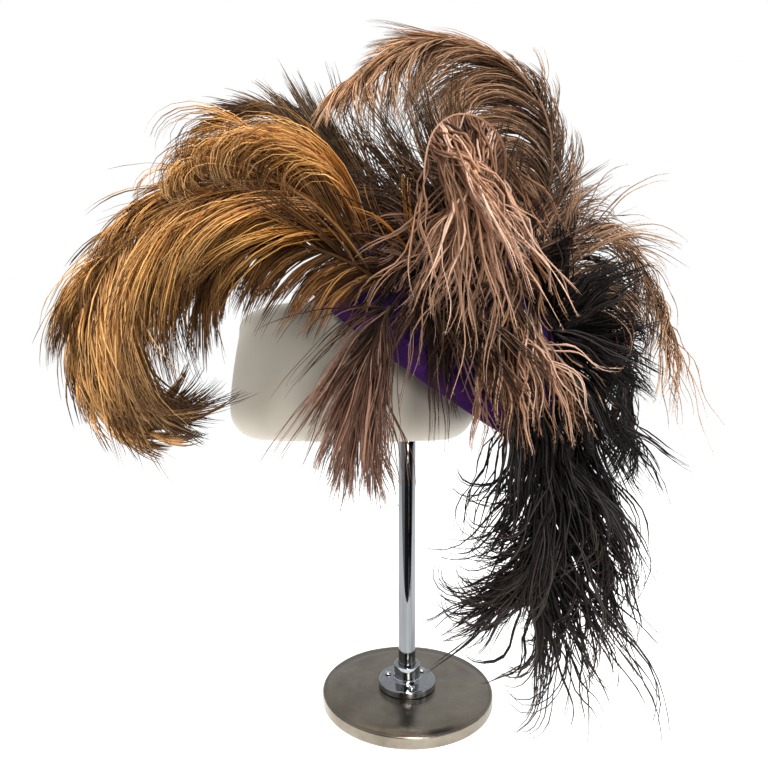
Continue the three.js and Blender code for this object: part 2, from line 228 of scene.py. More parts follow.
def brushed(name):
    """Steel ground in one direction, with dull stains."""
    finish = Finish(name, Metallic=1.0)
    lines = finish.noise(45, 3, 0.6, (1, 40, 40))
    stains = finish.noise(26, 4, 0.6)
    spots = finish.noise(75, 3, 0.7)
    colour = finish.ramp(stains * 0.7 + spots * 0.3, (0.36, "7c7468"), (0.52, "8e867a"), (0.68, "9a9286"))
    colour = finish.dimmed(colour, 0.85 + 0.3 * lines)
    return finish.given(colour, 0.14 + 0.14 * stains + 0.08 * lines, lines, 0.06, 0.0002)


# A barb is painted with its pale colour from this tone upwards, faster by this gain; as the tone holds
# painted light, this pale colour is partly a painted highlight
PALE_FROM, PALE_GAIN = 0.74, 1.3


def barbs(name, near, far, pale, rough):
    """Barbs coloured from root to tip, one way near the quill's foot and another way far along it."""
    finish = Finish(name, Sheen_Weight=0.04, Sheen_Roughness=0.4, Sheen_Tint=paint(pale), IOR=1.3)
    place = finish.node("ShaderNodeUVMap", {"uv_map": "barb"})
    along, passed = finish.axis(place, 0), finish.axis(place, 1)
    tone = finish.node("ShaderNodeAttribute", {"attribute_name": "tone"}, output="Fac")
    fluff = finish.noise(800, 2, 0.6)
    colour = finish.mix(passed, finish.ramp(along, *near), finish.ramp(along, *far))
    # The tone holds each barb's own tone and also painted light and shade; it pales and dims the colour.
    colour = finish.mix((tone - PALE_FROM) * PALE_GAIN, colour, paint(pale))
    colour = finish.dimmed(colour, 0.02 + 1.3 * tone + 0.25 * fluff)
    return finish.given(colour, rough + 0.2 * fluff, fluff, 0.5, 0.0006)


def quill(name, code):
    """Smooth horn with a slight grain."""
    finish = Finish(name, IOR=1.5)
    grain = finish.noise(400, 3, 0.6)
    return finish.given(finish.dimmed(paint(code), 0.7 + 0.6 * grain), 0.35 + 0.2 * grain, grain, 0.2, 0.0003)


# Turned and lofted pieces, drawn up ring by ring

def chosen(piece):
    """Makes a piece the only one selected."""
    bpy.ops.object.select_all(action="DESELECT")
    piece.select_set(True)
    bpy.context.view_layer.objects.active = piece


def closed(piece):
    """Leaves edit mode with all faces turned outwards."""
    bpy.ops.mesh.select_all(action="SELECT")
    bpy.ops.mesh.normals_make_consistent(inside=False)
    bpy.ops.object.mode_set(mode="OBJECT")
    return piece


def lofted(name, sides, rings, open_foot=False, close_top=False):
    """A circle drawn up through rings: (radius, height) or (centre x, half length, half width, height)."""
    rings = [(0, ring[0], *ring) if len(ring) == 2 else ring for ring in rings]
    bpy.ops.object.select_all(action="DESELECT")
    centre, long, wide, height = [value * MM for value in rings[0]]
    fill = "NOTHING" if open_foot else "NGON"
    bpy.ops.mesh.primitive_circle_add(
        vertices=sides, radius=long, fill_type=fill, location=(centre, 0, height))
    piece = bpy.context.active_object
    piece.name = name
    bpy.ops.object.transform_apply()
    bpy.ops.object.mode_set(mode="EDIT")
    bpy.ops.mesh.select_all(action="SELECT")
    bpy.ops.transform.resize(value=(1, wide / long, 1), center_override=(centre, 0, height))
    for ring in rings[1:]:
        next_centre, next_long, next_wide, next_height = [value * MM for value in ring]
        step = (next_centre - centre, 0, next_height - height)
        bpy.ops.mesh.extrude_region_move(TRANSFORM_OT_translate={"value": step})
        bpy.ops.transform.resize(
            value=(next_long / long, next_wide / wide, 1), center_override=(next_centre, 0, next_height))
        centre, long, wide, height = next_centre, next_long, next_wide, next_height
    if close_top:
        bpy.ops.mesh.merge(type="CENTER")
    return closed(piece)


def arc(centre_radius, centre_height, radius, start, end, steps):
    """Points of a rounded edge, as (radius, height); its angles run from straight outwards."""
    angles = np.radians(np.linspace(start, end, steps + 1))
    return [(centre_radius + radius * math.cos(a), centre_height + radius * math.sin(a)) for a in angles]


def modified(piece, kind, **settings):
    chosen(piece)
    modifier = piece.modifiers.new(kind, kind)
    for key, value in settings.items():
        setattr(modifier, key, value)
    bpy.ops.object.modifier_apply(modifier=modifier.name)


def settled(piece, smooth, slot, finishes, *nodes):
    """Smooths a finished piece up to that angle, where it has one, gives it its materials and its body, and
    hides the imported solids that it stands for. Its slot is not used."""
    if smooth:
        chosen(piece)
        bpy.ops.object.shade_smooth_by_angle(angle=math.radians(smooth))
    piece.data.materials.clear()
    for finish in finishes:
        piece.data.materials.append(finish)
    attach(piece, "root")
    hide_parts(*nodes)


# Stand

SEAT_GAP = 0.35
BASE = Sizes(
    radius=78.5, height=10, edge=1.6, underside=3,
    groove_at=76, groove=0.8, groove_depth=0.65, groove_shoulder=0.45,
)
FLANGE = Sizes(radius=26.5, height=6, edge=1.2, bevel=0.4, collar=12, top=20, fillet=3, lip=0.6)
SCREW = Sizes(count=3, circle=19, radius=3, flank=0.6, height=1.8, first=40)
POLE = Sizes(radius=8, top=260, bevel=0.3, rings=13)
TOP = Sizes(
    centre=-51, half_length=113, half_width=70, bottom=240, bevel=0.4, foot=28,
    shoulder=335, inset=8, lean=1.6, top=364.1, fullness=0.6,
)


def make_base(finish):
    radius, height, edge = BASE.radius, BASE.height, BASE.edge
    at, half = BASE.groove_at, BASE.groove
    deep, shoulder = height - BASE.groove_depth, height - BASE.groove_shoulder
    profile = [(radius - edge - BASE.underside, 0), *arc(radius - edge, edge, edge, -90, 0, 5)]
    profile += arc(radius - edge, height - edge, edge, 0, 90, 6)
    profile += [(at + half, height), (at + half / 2, shoulder), (at, deep)]
    profile += [(at - half / 2, shoulder), (at - half, height)]
    profile += [(radius * share, height) for share in (0.8, 0.6, 0.4, 0.2)]
    piece = lofted("steel_base", 128, profile)
    settled(piece, 50, "base_steel", [finish], "base")


def make_flange(finish):
    foot, bore = BASE.height + SEAT_GAP, POLE.radius + SEAT_GAP
    plate, top = foot + FLANGE.height, foot + FLANGE.top
    radius, edge, bevel = FLANGE.radius, FLANGE.edge, FLANGE.bevel
    collar, fillet, lip = FLANGE.collar, FLANGE.fillet, FLANGE.lip
    profile = [(bore, foot), (radius - bevel, foot), (radius, foot + bevel)]
    profile += arc(radius - edge, plate - edge, edge, 0, 90, 5)
    profile += arc(collar + fillet, plate + fillet, fillet, -90, -180, 6)
    profile += [*arc(collar - lip, top - lip, lip, 0, 90, 3), (bore, top)]
    piece = lofted("chrome_flange", 96, profile, open_foot=True)
    bpy.ops.object.mode_set(mode="EDIT")
    bpy.ops.mesh.select_all(action="DESELECT")
    bpy.ops.mesh.select_non_manifold()
    bpy.ops.mesh.bridge_edge_loops()
    closed(piece)
    settled(piece, 40, "stand_chrome", [finish], "flange")


def make_screws(finish):
    seat = BASE.height + FLANGE.height + 2 * SEAT_GAP
    radius, flank, circle = SCREW.radius, SCREW.flank, SCREW.circle * MM
    rise = SCREW.height - flank
    profile = [(radius, seat), (radius, seat + flank)]
    ups = np.radians([20, 40, 60, 78])
    profile += [(radius * math.cos(up), seat + flank + rise * math.sin(up)) for up in ups]
    for i in range(SCREW.count):
        angle = math.radians(SCREW.first + 360 / SCREW.count * i)
        piece = lofted(f"screw_head_{i + 1}", 32, profile)
        piece.location = (circle * math.cos(angle), circle * math.sin(angle), 0)
        chosen(piece)
        bpy.ops.object.transform_apply()
        settled(piece, 40, "screw_chrome", [finish], f"screw_{i + 1}")


def make_pole(finish):
    foot, top = BASE.height + SEAT_GAP, POLE.top
    radius, bevel = POLE.radius, POLE.bevel
    wall = [(radius, height) for height in np.linspace(foot + bevel, top - bevel, POLE.rings)]
    piece = lofted("chrome_pole", 72, [(radius - bevel, foot), *wall, (radius - bevel, top)])
    settled(piece, 50, "stand_chrome", [finish], "pole")


def make_top(finish):
    """The frosted top: an oval block with a socket, a rounded foot, a shoulder and a low dome."""
    long, low, foot, shoulder = TOP.half_length, TOP.bottom, TOP.foot, TOP.shoulder
    socket, bevel = POLE.radius + SEAT_GAP, TOP.bevel
    rings = [(socket, POLE.top + SEAT_GAP), (socket, low + bevel), (socket + bevel, low)]
    outline = arc(long - foot, low + foot, foot, -90, 0, 12)
    for share in np.linspace(0.1, 0.95, 8):
        height = low + foot + (shoulder - low - foot) * share
        outline.append((long - TOP.inset * share ** TOP.lean, height))
    for a in np.radians(np.linspace(0, 88.5, 22)):
        out, up = math.cos(a) ** TOP.fullness, math.sin(a) ** TOP.fullness
        outline.append(((long - TOP.inset) * out, shoulder + (TOP.top - shoulder) * up))
    slim = TOP.half_width / long
    rings += [(TOP.centre, reach, reach * slim, height) for reach, height in outline]
    piece = lofted("frosted_top", 128, rings)
    settled(piece, 60, "form_frosted", [finish], "form")


# Velvet crown and its band

CROWN = Sizes(
    centre=(22, 0, 307), half_length=131, half_width=100, height=120,
    cloth=2.25, fullness=0.85, tilt=35.2, roll=12.6,
)
BAND = Sizes(above=14, below=1.5, sunk=1.7, plump=1.1, cloth=3.4)


def crown_frame():
    """Where the crown stands: tipped down at its right end and rolled towards the front."""
    tilt, roll = math.radians(CROWN.tilt), math.radians(CROWN.roll)
    along = Vector((math.cos(tilt), 0, -math.sin(tilt)))
    upright = Vector((math.sin(tilt), 0, math.cos(tilt)))
    away = Vector((0, 1, 0))
    axis = upright * math.cos(roll) - away * math.sin(roll)
    across = away * math.cos(roll) + upright * math.sin(roll)
    turn = Matrix((along, across, axis)).transposed().to_4x4()
    return Matrix.Translation(Vector(CROWN.centre) * MM) @ turn


CROWN_FRAME = crown_frame()


def crown_size(grow):
    return CROWN.half_length + grow, CROWN.half_width + grow, CROWN.height + grow


def dome_ring(up_degrees, grow):
    """The ring that far up the upright crown's outside, or on a dome that stands `grow` outside it."""
    long, wide, high = crown_size(grow)
    out = math.cos(math.radians(up_degrees)) ** CROWN.fullness
    up = math.sin(math.radians(up_degrees)) ** CROWN.fullness
    return (0, long * out, wide * out, high * up)


def tipped(piece):
    """Sets a piece that was made upright into the crown's tilt."""
    chosen(piece)
    piece.matrix_world = CROWN_FRAME
    bpy.ops.object.transform_apply()


def dented(piece, name, scale, strength, middle):
    """Moves a piece's cloth in and out by soft clouds of that scale."""
    clouds = bpy.data.textures.new(name, "CLOUDS")
    clouds.noise_scale = scale
    modified(piece, "DISPLACE", texture=clouds, strength=strength, mid_level=middle, texture_coords="LOCAL")


def make_crown(cloth, inside):
    ups = [*np.linspace(0, 84, 34), 86.5, 88.5]
    piece = lofted("velvet_crown", 160, [dome_ring(up, 0) for up in ups], open_foot=True, close_top=True)
    dented(piece, "dents", 0.05, 0.0022, 0.75)
    modified(piece, "SOLIDIFY", thickness=CROWN.cloth * MM, offset=-1, material_offset=1,
             material_offset_rim=0, use_even_offset=True)
    tipped(piece)
    settled(piece, 60, "crown_velvet", [cloth, inside], "crown")


def make_band(cloth):
    """A folded bias strip round the edge, plump in the middle."""
    rings = []
    for share in np.linspace(0, 1, 15):
        height = (BAND.above + BAND.below) * share - BAND.below
        up = math.degrees(math.asin((max(height, 0) / CROWN.height) ** (1 / CROWN.fullness)))
        _, long, wide, _ = dome_ring(up, BAND.plump * math.sin(math.pi * share) ** 0.6 - BAND.sunk)
        rings.append((0, long, wide, height))
    piece = lofted("velvet_band", 192, rings, open_foot=True)
    dented(piece, "puckers", 0.018, 0.0012, 0.5)
    modified(piece, "SOLIDIFY", thickness=BAND.cloth * MM, offset=1, use_even_offset=True)
    tipped(piece)
    settled(piece, 60, "band_velvet", [cloth], "rim_band")


# Plumes

# What a row of barbs has if it says nothing:
# - lift and fan: how far they stand off towards the front, and how much the locks differ in it
# - loose and wave: how unruly and how wavy they are
# - hook and late: a last turn at the tip, and how late the main turn comes
# - locks and grip: how many barbs cling together in a lock, and how firmly
# - thick: half their thickness, without fluff
# - passed: how much their colour follows the way along the shaft; where it is low, as in tufts, the barbs
#   keep to their dark near and root colours as painted shade
# - shade: how much lighter or darker they are than the rest, as painted light and shade
VANE = dict(lift=0.05, fan=0.22, loose=1.0, wave=0.05, hook=0.0, late=1.3, locks=6, grip=0.7, thick=0.42,
            passed=1.0, shade=0.0)
TUFT = dict(VANE, start=0.0, end=1.0, lean=(0, 0), lift=0.35, fan=0.2, loose=1.5, fingers=7, both=True,
            passed=0.25)


def vane(count, start, end, side, long, lean, turn, droop, **more):
    """One row of barbs: how many, the stretch of shaft that they leave, their side of it seen from the front
    (1 is the right hand of one who walks up the shaft), their length and lean at both ends of the stretch,
    how far they turn and how much they droop."""
    return dict(count=count, start=start, end=end, side=side, long=long, lean=lean, turn=turn, droop=droop,
                **more)


def tuft(count, around, up, heading, long, turn, droop, **more):
    """Loose barbs at a plume's foot, in fingers side by side: how many, where the first and the last leave
    the crown (degrees round it and up it), the ways that those set out (degrees from the right, seen from
    the front), their length, how far they turn (to both sides by turns, unless both is off) and droop."""
    return dict(count=count, around=around, up=up, heading=heading, long=(long, long), turn=turn,
                droop=droop, **more)


# Each plume: its piece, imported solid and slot, where it is sewn to the crown (degrees round it and up it),
# its own dice, hairs on a barb if any, what all its rows have (steps: how many a barb takes) and its shaft
PLUMES = [
    dict(name="golden_plume", node="plume_golden", slot="golden_barbs", seat=(-120, 22), seed=31,
         rows=dict(steps=8), shaft=[
        (-35, -104, 390), (-64, -112, 411), (-101, -122, 424), (-143, -130, 416), (-179, -132, 395),
        (-209, -130, 363), (-227, -122, 327), (-231, -112, 290), (-219, -102, 262), (-198, -94, 250),
    ], vanes=[
        # The shade of these rows is painted light and shade: the row below the quill darker, the rows on the
        # plume's outer left lighter.
        vane(760, 0.07, 0.38, 1, (134, 62), (30, 28), -150, 0.1, hook=-60, late=2.1, fan=0.1, loose=0.6,
             locks=8, steps=10, shade=0.01),
        vane(420, 0.38, 0.66, 1, (62, 70), (18, 20), -66, 0.1, fan=0.12, loose=0.8, thick=0.54, shade=0.08),
        vane(460, 0.6, 1, 1, (74, 38), (22, 10), -60, 0, fan=0.14, thick=0.6, shade=0.08),
        vane(540, 0.08, 0.42, -1, (140, 130), (30, 34), 60, 0.2, fan=0.12, loose=0.8, locks=8, thick=0.46,
             shade=-0.14),
        vane(430, 0.4, 0.72, -1, (112, 105), (36, 34), 30, 0.1, fan=0.14, locks=8, thick=0.56, shade=0.14),
        vane(430, 0.66, 1, -1, (105, 62), (38, 46), 34, 0, fan=0.16, thick=0.62, shade=-0.06),
    ], tufts=[
        tuft(60, (-122, -112), (24, 26), (200, 110), 70, -30, 0.4),
    ]),
    dict(name="arch_plume", node="plume_arch", slot="tan_barbs", seat=(-64, 54), seed=22, rows=dict(steps=10),
         shaft=[
        (110, -62, 425), (120, -48, 473), (121, -35, 517), (106, -28, 557), (75, -28, 582), (31, -36, 588),
        (-12, -54, 566), (-50, -76, 526),
    ], vanes=[
        # The shade of this row is painted shade on the barbs by the quill.
        vane(800, 0.13, 0.55, -1, (75, 140), (34, 34), 150, 0.1, late=1.5, fan=0.1, loose=0.6, locks=8,
             shade=-0.05),
        vane(360, 0.46, 0.66, -1, (100, 86), (22, 13), 30, 0.12, fan=0.1, loose=0.5, locks=8, steps=7),
        vane(470, 0.6, 1, -1, (88, 60), (12, 7), 10, 0.12, fan=0.1, loose=0.6, locks=8, steps=6, thick=0.5),
        vane(130, 0.72, 1, -1, (80, 60), (34, 18), 24, 0.3, loose=1.4, thick=0.5),
        vane(160, 0.5, 0.8, -1, (110, 90), (25, 20), 70, 0.4, loose=1.2),
        vane(240, 0.08, 0.48, 1, (70, 46), (44, 24), -75, 0, loose=1.2),
        vane(200, 0.02, 0.2, -1, (80, 80), (60, 34), 30, 0.5, loose=1.2),
        vane(120, 0.02, 0.2, 1, (60, 60), (50, 34), 10, 0.3, loose=1.2),
        vane(170, 0.46, 1, 1, (30, 28), (12, 6), -40, 0.1, loose=0.5, fan=0.1, steps=5),
    ], tufts=[
        tuft(90, (-98, -70), (44, 62), (-150, -100), 80, 10, 0.8),
        tuft(130, (-110, -86), (42, 60), (140, 105), 112, -60, 0.2, lift=0.2, thick=0.5, both=False, steps=8),
        tuft(90, (-110, -90), (44, 62), (150, 120), 84, -70, 0.2, thick=0.5, both=False, steps=8),
        tuft(60, (-62, -46), (58, 50), (100, 20), 70, -20, 0.8),
    ]),
    dict(name="lower_black_plume", node="plume_black_lower", slot="black_barbs", seat=(-46, 13), seed=23,
         fluff=12, rows=dict(steps=12, thick=0.85), shaft=[
        (106, -72, 258), (112, -82, 222), (109, -90, 188), (98, -94, 160), (82, -96, 142),
    ], vanes=[
        vane(340, 0.05, 1, 1, (118, 80), (32, 2), 10, 0, hook=95, wave=0.2, loose=1.3, locks=3, grip=0.85),
        vane(350, 0.05, 1, -1, (110, 100), (24, 58), -18, 0.1, hook=-100, wave=0.25, loose=1.2, locks=3,
             grip=0.85),
        vane(36, 0.7, 1, -1, (124, 116), (62, 74), 8, 0.1, hook=-50, wave=0.25, loose=1.2, locks=2),
    ], tufts=[
        tuft(150, (-62, -34), (12, 18), (-105, -60), 100, 0, 0.4, thick=0.8, wave=0.3),
    ]),
    dict(name="upper_black_plume", node="plume_black_upper", slot="black_barbs", seat=(-50, 32), seed=14,
         fluff=8, rows=dict(steps=11, wave=0.3, thick=0.7), shaft=[
        (106, -60, 357), (134, -48, 372), (166, -32, 360), (188, -18, 325), (202, -8, 282), (210, -4, 244),
    ], vanes=[
        vane(380, 0.02, 1, 1, (90, 56), (60, 20), 24, 0.5, hook=70, loose=1.6, lift=0.25),
        vane(260, 0.02, 1, -1, (56, 40), (45, 4), -60, 0.4, hook=-70, loose=1.6, lift=0.15),
    ], tufts=[
        tuft(240, (-60, -46), (46, 36), (100, -20), 62, -30, 0.3, thick=0.75, lift=0.9),
        tuft(200, (-60, -40), (38, 30), (-20, -100), 74, -10, 0.4, thick=0.75, lift=0.8),
        tuft(90, (-40, -28), (24, 20), (-40, -100), 90, -10, 0.6),
    ]),
    dict(name="front_plume", node="plume_front", slot="pale_barbs", seat=(-76, 44), seed=15, fluff=26,
         rows=dict(steps=13, fan=0.2, wave=0.45, locks=3), shaft=[
        (63, -118, 410), (58, -138, 438), (42, -148, 451), (24, -154, 451), (10, -158, 439), (4, -160, 420),
        (3, -158, 400),
    ], vanes=[
        vane(84, 0.3, 0.56, -1, (122, 116), (168, 104), 0, 0.3, loose=1.2, thick=1),
        vane(100, 0.54, 0.86, -1, (122, 112), (112, 56), 0, 0.2, thick=1),
        vane(34, 0.4, 0.86, -1, (168, 150), (146, 52), 2, 0.3, loose=1.4, wave=0.4, thick=0.9, locks=2),
        vane(36, 0.16, 0.5, 1, (72, 96), (160, 148), 8, 0.4, thick=0.95),
        vane(6, 0.86, 1, 1, (76, 66), (6, 14), -40, 0.5, wave=0.4, thick=0.8, locks=2),
    ], tufts=[
        tuft(56, (-86, -68), (34, 40), (-100, -65), 84, 0, 0.5, thick=0.85, lift=0.3, passed=0.8),
        tuft(36, (-82, -64), (22, 28), (-95, -60), 78, 0, 0.5, thick=0.8, lift=0.25, passed=0.8),
        tuft(14, (-76, -66), (30, 32), (-70, -30), 76, -20, 0.4, thick=0.85, wave=0.4, locks=2, lift=0.4,
             passed=0.8),
    ]),
    dict(name="under_plume", node="plume_under", slot="brown_barbs", seat=(-116, 16), seed=16,
         rows=dict(steps=9), shaft=[
        (-53, -114, 374), (-92, -116, 384), (-127, -116, 379), (-152, -114, 354),
    ], vanes=[
        vane(380, 0.12, 1, 1, (70, 42), (34, 12), 0, 0.5, thick=0.55),
        vane(540, 0.14, 1, -1, (64, 50), (50, 24), 20, 1, thick=0.5, fan=0.14),
    ], tufts=[
        tuft(90, (-128, -118), (22, 26), (-178, -150), 56, 10, 0.5, thick=0.5),
        tuft(10, (-120, -112), (18, 18), (-140, -110), 130, 0, 0.3, thick=0.45, locks=1, fingers=4),
    ]),
    dict(name="grey_plume", node="plume_grey", slot="grey_barbs", seat=(-124, 30), seed=17,
         rows=dict(steps=9), shaft=[
        (-26, -76, 419), (-62, -58, 478), (-100, -42, 517), (-136, -30, 531), (-162, -25, 529),
    ], vanes=[
        # The shade of these rows and tufts is painted shade on the grey plume, which lies behind the golden
        # one.
        vane(420, 0.03, 0.5, 1, (132, 76), (2, -8), 6, 0, loose=0.9, thick=0.6, shade=-0.08),
        vane(300, 0.1, 0.8, 1, (66, 26), (22, 16), -40, 0.1, loose=0.8, thick=0.56, shade=-0.08),
        vane(420, 0.1, 1, -1, (100, 40), (22, 12), -10, 0.2, loose=0.8, thick=0.6, shade=-0.08),
        vane(60, 0.7, 1, 1, (24, 18), (20, 12), -30, 0.1, loose=0.8),
    ], tufts=[
        tuft(220, (-114, -94), (36, 48), (140, 80), 96, 10, 0.15, thick=0.62, steps=8, lift=0.1, shade=-0.06),
        tuft(200, (-118, -100), (42, 48), (122, 98), 114, 10, 0.15, thick=0.62, steps=8, lift=0.05, loose=0.8,
             shade=-0.06),
        tuft(110, (-98, -84), (34, 44), (-150, -70), 70, 10, 0.7),
    ]),
    dict(name="tassel_plume", node="plume_tassel", slot="dark_brown_barbs", seat=(-114, 9), seed=18, fluff=5,
         rows=dict(steps=10, wave=0.2, thick=0.5), shaft=[
        (-19, -118, 336), (-30, -122, 311), (-38, -122, 279), (-41, -116, 250),
    ], vanes=[
        vane(290, 0.1, 1, 1, (112, 50), (17, 10), -8, 0.4, thick=0.54, loose=1.4, wave=0.16),
        vane(240, 0.1, 1, -1, (112, 56), (17, 18), -8, 0.4, thick=0.54, loose=1.5, wave=0.16),
    ], tufts=[
        tuft(150, (-112, -100), (26, 28), (170, 10), 48, 0, 0.5),
        # passed=0 keeps these two tufts to their darkest colours, as painted shade.
        tuft(260, (-122, -88), (34, 48), (165, 30), 60, 0, 0.4, thick=0.6, lift=0.5, passed=0),
        tuft(130, (-128, -104), (34, 26), (210, 290), 42, 0, 0.3, thick=0.75, lift=1.2, passed=0),
        tuft(60, (-108, -102), (22, 20), (-90, -40), 105, -12, 0.5, wave=0.15),
        tuft(12, (-114, -108), (16, 20), (-150, -110), 90, 0, 0.6, wave=0.15, locks=2, fingers=4),
        tuft(50, (-100, -88), (20, 26), (-80, -30), 80, -15, 0.6),
    ]),
    dict(name="right_plume", node="plume_right", slot="tan_barbs", seat=(-58, 42), seed=19, fluff=8,
         rows=dict(steps=13, wave=0.25, thick=0.55), shaft=[
        (127, -62, 402), (155, -52, 416), (187, -42, 402), (213, -33, 372), (229, -28, 334),
    ], vanes=[
        vane(110, 0.1, 1, 1, (95, 80), (40, 8), 20, 0.7, loose=1.8),
        vane(110, 0.2, 1, -1, (52, 64), (35, 4), -60, 0.6, loose=1.6),
        vane(80, 0.05, 0.5, -1, (66, 54), (75, 45), -130, 0.1, loose=1.4, wave=0.2, thick=0.5),
        vane(12, 0.84, 1, -1, (104, 126), (8, 2), 0, 0.3, loose=1.2, locks=1),
        vane(4, 0.42, 0.5, -1, (72, 66), (64, 56), -50, 0, loose=0.5, wave=0.1, locks=1),
    ], tufts=[
        tuft(56, (-56, -46), (58, 50), (82, 50), 100, 200, 0.3, thick=0.6, wave=0.1, both=False, lift=0.1,
             loose=0.5),
        tuft(36, (-54, -46), (50, 42), (64, 24), 84, 170, 0.5, thick=0.65, wave=0.12, both=False, lift=0.9),
    ]),
]

# Colours by slot: from root to tip near the quill's foot, from root to tip at its far end, the palest
# barbs, the quill, and how rough the barbs are. The dark roots, and the dark near colours of the tan barbs,
# are partly the feathers' own colour and partly painted shade deep in the plumes
FEATHERS = {
    "golden_barbs": (
        # The near barbs' bright stop at 0.6 is a painted highlight along the crest of the golden roll.
        [(0, "4a2000"), (0.22, "864402"), (0.44, "ba7216"), (0.6, "f0b866"), (0.78, "aa7236"),
         (1, "583a1e")],
        [(0, "8a4a08"), (0.3, "fcc880"), (0.6, "dca668"), (0.78, "624228"), (1, "32211a")],
        "f4cc94", "8c5a24", 0.55),
    "tan_barbs": (
        [(0, "1a0e08"), (0.35, "3e271d"), (0.8, "624230"), (1, "5c3e2e")],
        [(0, "5c3e2c"), (0.5, "cc9c74"), (1, "dab088")], "d8b08c", "3c2418", 0.55),
    "black_barbs": (
        [(0, "0e0b0a"), (0.6, "1a1614"), (1, "2a211c")],
        [(0, "141110"), (0.6, "26201d"), (1, "42352c")], "504a48", "1a1412", 0.55),
    # The pale plume's quill colour is darkened as painted shade, to sink it among the barbs.
    "pale_barbs": (
        [(0, "3a2618"), (0.4, "946848"), (1, "c69872")],
        [(0, "8a5e44"), (0.4, "cc9a78"), (1, "dcb096")], "ecd4c6", "5c4434", 0.65),
    "brown_barbs": (
        [(0, "341e0c"), (0.5, "7a5024"), (1, "7a5230")],
        [(0, "462a12"), (0.5, "845a2e"), (1, "684628")], "b88c58", "5a3a20", 0.55),
    "grey_barbs": (
        [(0, "1c1009"), (0.4, "402b18"), (1, "664c2e")],
        [(0, "322010"), (0.5, "583a1e"), (1, "5c3e22")], "8c6a44", "5a4a40", 0.55),
    "dark_brown_barbs": (
        [(0, "1e110a"), (0.5, "4c2f1f"), (1, "8a6250")],
        [(0, "40281c"), (0.5, "7c5644"), (1, "b08a76")], "b89480", "3a2418", 0.55),
}

FACE = np.array([0.0, -1.0, 0.0])
DOWN = np.array([0.0, 0.0, -1.0])

# How deep a shaft's foot is sewn in, its points for the barbs, its joints as a piece, and its thickness
SEWN = 1.5
SHAFT_POINTS = 400
SHAFT_JOINTS = 50
SHAFT_THICK = (2.0, 0.5)

# How a barb droops, hooks and spaces its rings, how thin it ends, how ragged and how flat it is, and how
# much of its colours from root to tip it shows in a tuft and in a vane; a tuft keeps to the darker root
# colours as painted shade at the plumes' feet
DROOP_POWER = 1.4
HOOK_POWER = 4
TIP_FINENESS = 1.3
TIP_THICK = 0.06
RAGGED = 0.28
FLATNESS = 0.55
ALONG = (0.4, 1)
TUBE_SIDES = 3

# How much the locks of a row differ and the barbs of a lock do, what lies anywhere between two values, the
# barbs that stray, and how much painted light a barb gains by standing out towards the front, with painted
# shade for the barbs that lie deeper in
LOCKS_DIFFER = dict(long=0.13, lean=5.5, turn=0.2, droop=0.25, tone=0.2)
BARBS_DIFFER = dict(at=1.6, long=0.09, lean=3.0, lift=0.09, droop=0.12, phase=0.5, tone=0.16)
RANGES = dict(hook=(-0.3, 1.7), wave=(0.3, 1.3), rate=(8, 17), grip=(0.75, 1.05))
STRAYS = dict(share=0.07, lean=9, lift=0.2)
DEPTH_PAINTED_LIGHT = 0.13

# Hairs on barbs: their shortest length, how much longer they may be, their slant, thickness and added tone
HAIR = Sizes(long=1.6, more=1.8, slant=0.75, thick=0.16, tone=0.1)


def unit(vectors):
    return vectors / np.maximum(np.linalg.norm(vectors, axis=-1, keepdims=True), 1e-9)


def between(ends, share):
    return ends[0] + (ends[1] - ends[0]) * share


def sampled(line, at, places):
    """A line's points, known at those places along it, read off at others."""
    return np.stack([np.interp(at, places, line[:, axis]) for axis in range(3)], 1)


def crown_place(around_degrees, up_degrees, grow):
    """A place on the crown's outside, or `grow` outside it."""
    _, long, wide, height = dome_ring(up_degrees, grow)
    around = math.radians(around_degrees)
    local = Vector((long * math.cos(around), wide * math.sin(around), height)) * MM
    return np.array(CROWN_FRAME @ local) / MM


def shaft_line(plume):
    """The shaft as many points an equal way apart, on a smooth curve through those of the table."""
    knots = np.array([crown_place(*plume["seat"], -SEWN), *plume["shaft"]], float)
    knots = np.vstack([2 * knots[0] - knots[1], knots, 2 * knots[-1] - knots[-2]])
    share = np.linspace(0, 1, 40, endpoint=False)[:, None]
    stretches = []
    for before, start, end, after in zip(knots, knots[1:], knots[2:], knots[3:]):
        stretches.append(0.5 * (2 * start + (end - before) * share
                                + (2 * before - 5 * start + 4 * end - after) * share ** 2
                                + (3 * start - before - 3 * end + after) * share ** 3))
    line = np.vstack([*stretches, knots[-2:-1]])
    passed = np.concatenate([[0], np.cumsum(np.linalg.norm(np.diff(line, axis=0), axis=1))])
    return sampled(line, np.linspace(0, passed[-1], SHAFT_POINTS), passed)


def barb_stops(steps):
    """Where a barb's rings lie along it, closer together towards its tip."""
    return 1 - (1 - np.arange(steps + 1) / steps) ** TIP_FINENESS


